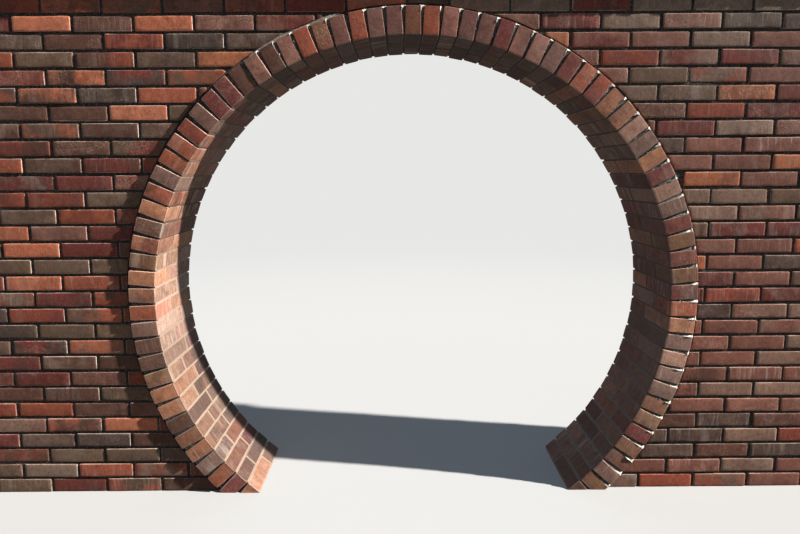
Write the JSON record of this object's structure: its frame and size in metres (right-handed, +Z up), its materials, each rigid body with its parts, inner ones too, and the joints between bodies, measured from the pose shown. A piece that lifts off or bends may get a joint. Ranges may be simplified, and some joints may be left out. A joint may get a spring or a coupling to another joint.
{
  "type": "moon gate in a brick garden wall",
  "caption": "Round walk-through opening in a free-standing clinker brick wall, turned with one ring of header bricks and topped with bricks on edge.",
  "frame": {"origin": "on the ground, under the middle of the round opening and of the wall's thickness", "axes": "+X along the wall to the right seen from the front, +Y through the opening from front to back, +Z up"},
  "size_m": [4.72, 0.42, 2.38],
  "materials": {
    "wall_masonry": "smooth clinker brick in stretcher bond, mottled red to purple-brown, with dark recessed joints",
    "ring_brick": "clinker headers, orange-red to grey-brown, with sharp pale edges",
    "coping_brick": "clinker bricks on edge",
    "mortar": "dark charcoal cement mortar with a little white lime bloom"
  },
  "bodies": {
    "root": {"wall_left_lift_1": "wall_masonry", "wall_left_lift_2": "wall_masonry", "wall_left_lift_3": "wall_masonry", "wall_left_lift_4": "wall_masonry", "wall_left_lift_5": "wall_masonry", "wall_right_lift_1": "wall_masonry", "wall_right_lift_2": "wall_masonry", "wall_right_lift_3": "wall_masonry", "wall_right_lift_4": "wall_masonry", "wall_right_lift_5": "wall_masonry", "wall_over_crown": "wall_masonry", "ring_bricks_crown": "ring_brick", "ring_bricks_left_1": "ring_brick", "ring_bricks_left_2": "ring_brick", "ring_bricks_left_3": "ring_brick", "ring_bricks_left_4": "ring_brick", "ring_bricks_left_5": "ring_brick", "ring_bricks_right_1": "ring_brick", "ring_bricks_right_2": "ring_brick", "ring_bricks_right_3": "ring_brick", "ring_bricks_right_4": "ring_brick", "ring_bricks_right_5": "ring_brick", "ring_mortar_crown": "mortar", "ring_mortar_left_1": "mortar", "ring_mortar_left_2": "mortar", "ring_mortar_left_3": "mortar", "ring_mortar_left_4": "mortar", "ring_mortar_left_5": "mortar", "ring_mortar_right_1": "mortar", "ring_mortar_right_2": "mortar", "ring_mortar_right_3": "mortar", "ring_mortar_right_4": "mortar", "ring_mortar_right_5": "mortar", "coping_bricks_1": "coping_brick", "coping_bricks_2": "coping_brick", "coping_bricks_3": "coping_brick", "coping_bricks_4": "coping_brick", "coping_mortar_1": "mortar", "coping_mortar_2": "mortar", "coping_mortar_3": "mortar", "coping_mortar_4": "mortar"}
  },
  "joints": []
}
